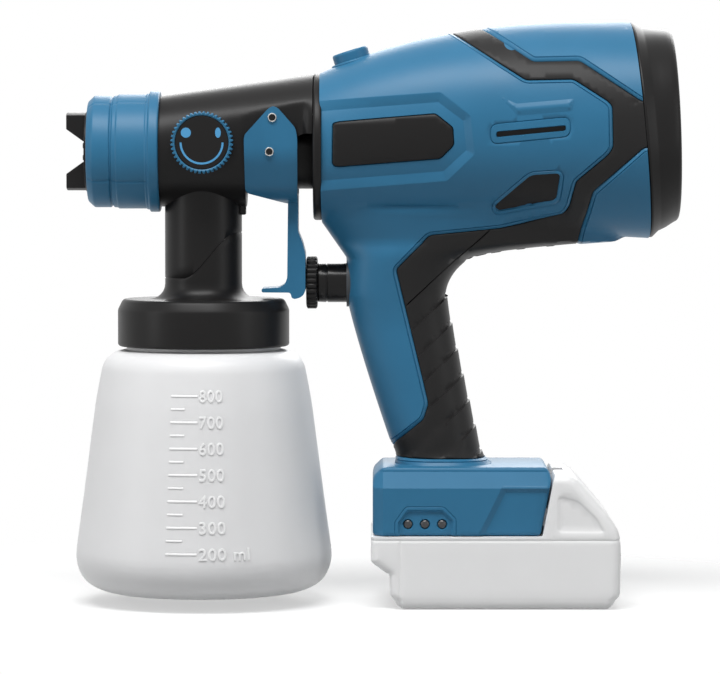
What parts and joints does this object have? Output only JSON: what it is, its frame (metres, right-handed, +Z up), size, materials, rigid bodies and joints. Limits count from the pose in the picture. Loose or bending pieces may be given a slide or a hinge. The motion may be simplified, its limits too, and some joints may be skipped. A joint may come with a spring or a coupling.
{
  "type": "handheld paint sprayer",
  "caption": "Cordless handheld paint sprayer: turbine body, twist-off spray head with trigger and air cap, paint cup under the head, slide-in battery.",
  "frame": {"origin": "centre of the overall box, at the ground", "axes": "+X from the air cap to the rear cap, +Z up, -Y is the side with the spray shape knob"},
  "size_m": [0.2776, 0.1168, 0.264],
  "materials": {
    "blue_shell": "satin moulded, fine texture",
    "black_soft": "matt soft inlay",
    "black_plastic": "satin moulded",
    "grey_plastic": "plain moulded",
    "frosted_plastic": "milky translucent",
    "pack_plastic": "pale matt",
    "steel": "machined",
    "brass_parts": "turned",
    "aluminium_parts": "turned",
    "foam": "open cell foam",
    "rubber_seal": "smooth",
    "board": "coated board",
    "lamp_lens": "dark clear lens",
    "cell_wrap": "shrink wrap"
  },
  "bodies": {
    "body": {"housing_left": "blue_shell", "housing_right": "blue_shell", "inlay_left": "black_soft", "inlay_right": "black_soft", "name_plate_left": "black_plastic", "name_plate_right": "black_plastic", "side_vents_left": "black_plastic", "side_vents_right": "black_plastic", "front_bezel": "black_plastic", "twist_socket": "grey_plastic", "air_duct": "grey_plastic", "motor_can": "grey_plastic", "motor": "steel", "turbine_scroll": "grey_plastic", "rear_cap": "black_plastic", "filter_foam": "foam", "control_board": "board", "trigger_switch": "grey_plastic", "plunger_guide": "grey_plastic", "plunger_spring": "steel", "button_guide": "blue_shell", "button_spring": "steel", "housing_screws": "steel", "charge_lamps": "lamp_lens", "terminal_block": "grey_plastic"},
    "rotor": {"motor_shaft": "steel", "impeller": "aluminium_parts", "impeller_nut": "steel"},
    "filter_cover": {"filter_cover": "black_plastic"},
    "release_button": {"release_button": "blue_shell"},
    "plunger": {"plunger": "black_plastic"},
    "flow_knob": {"flow_knob": "black_plastic"},
    "battery": {"battery_case": "pack_plastic", "battery_cells": "cell_wrap", "latch_spring": "steel"},
    "battery_latch": {"battery_latch": "black_plastic"},
    "head": {"barrel": "black_plastic", "hood": "black_plastic", "neck": "black_plastic", "cup_lid": "black_plastic", "lid_gasket": "rubber_seal", "suction_tube": "frosted_plastic", "strainer": "steel", "fluid_body": "aluminium_parts", "nozzle": "steel", "packing_nut": "brass_parts", "spring_seat": "brass_parts", "pivot_pin": "steel", "spigot_seal": "rubber_seal", "needle_spring": "steel"},
    "collar": {"collar": "blue_shell"},
    "air_cap": {"air_cap": "black_plastic"},
    "shape_knob": {"shape_knob": "blue_shell", "shape_dial": "black_plastic", "shape_valve": "aluminium_parts"},
    "trigger": {"trigger": "blue_shell"},
    "needle": {"needle": "steel"},
    "cup": {"cup": "frosted_plastic"}
  },
  "joints": [
    {"name": "turbine_spin", "type": "hinge", "parent": "body", "child": "rotor", "pos_m": [0.1, 0, 0.2135], "axis": [1, 0, 0], "continuous": true},
    {"name": "filter_cover_twist", "type": "hinge", "parent": "body", "child": "filter_cover", "pos_m": [0.1369, 0, 0.2167], "axis": [0.9991, 0, 0.0419], "range_deg": [0, 25]},
    {"name": "release_press", "type": "slide", "parent": "body", "child": "release_button", "axis": [0.3007, 0, -0.9537], "range_m": [0, 0.003], "stiffness_N_per_m": 600, "springref_m": -0.001, "deforming": ["button_spring"]},
    {"name": "head_twist", "type": "hinge", "parent": "body", "child": "head", "pos_m": [-0.03, 0, 0.2051], "axis": [1, 0, 0], "range_deg": [0, 40]},
    {"name": "trigger_pull", "type": "hinge", "parent": "head", "child": "trigger", "pos_m": [-0.045, 0, 0.2204], "axis": [0, -1, 0], "range_deg": [0, 8], "stiffness_Nm_per_rad": 1.5, "springref_deg": -8.59},
    {"name": "needle_draw", "type": "slide", "parent": "head", "child": "needle", "axis": [1, 0, 0], "range_m": [0, 0.0022], "deforming": ["needle_spring"]},
    {"name": "plunger_push", "type": "slide", "parent": "body", "child": "plunger", "axis": [1, 0, 0], "range_m": [0, 0.011], "deforming": ["plunger_spring"]},
    {"name": "flow_knob_turn", "type": "hinge", "parent": "plunger", "child": "flow_knob", "pos_m": [-0.0276, 0, 0.1456], "axis": [1, 0, 0], "range_deg": [0, 270]},
    {"name": "battery_slide", "type": "slide", "parent": "body", "child": "battery", "axis": [1, 0, 0], "range_m": [0, 0.09]},
    {"name": "latch_press", "type": "slide", "parent": "battery", "child": "battery_latch", "axis": [0, 0, -1], "range_m": [0, 0.0039], "stiffness_N_per_m": 500, "springref_m": -0.001, "deforming": ["latch_spring"]},
    {"name": "collar_turn", "type": "hinge", "parent": "head", "child": "collar", "pos_m": [-0.11, 0, 0.2051], "axis": [1, 0, 0], "range_deg": [0, 90]},
    {"name": "air_cap_turn", "type": "hinge", "parent": "head", "child": "air_cap", "pos_m": [-0.13, 0, 0.2051], "axis": [1, 0, 0], "range_deg": [0, 90]},
    {"name": "shape_knob_turn", "type": "hinge", "parent": "head", "child": "shape_knob", "pos_m": [-0.0763, -0.03, 0.2092], "axis": [0, -1, 0], "range_deg": [0, 90]},
    {"name": "cup_remove", "type": "slide", "parent": "head", "child": "cup", "axis": [0, 0, -1], "range_m": [0, 0.13]}
  ],
  "couplings": [
    {"joint": "needle_draw", "follows": "trigger_pull", "m_per_rad": 0.0153},
    {"joint": "plunger_push", "follows": "trigger_pull", "m_per_rad": 0.078}
  ]
}
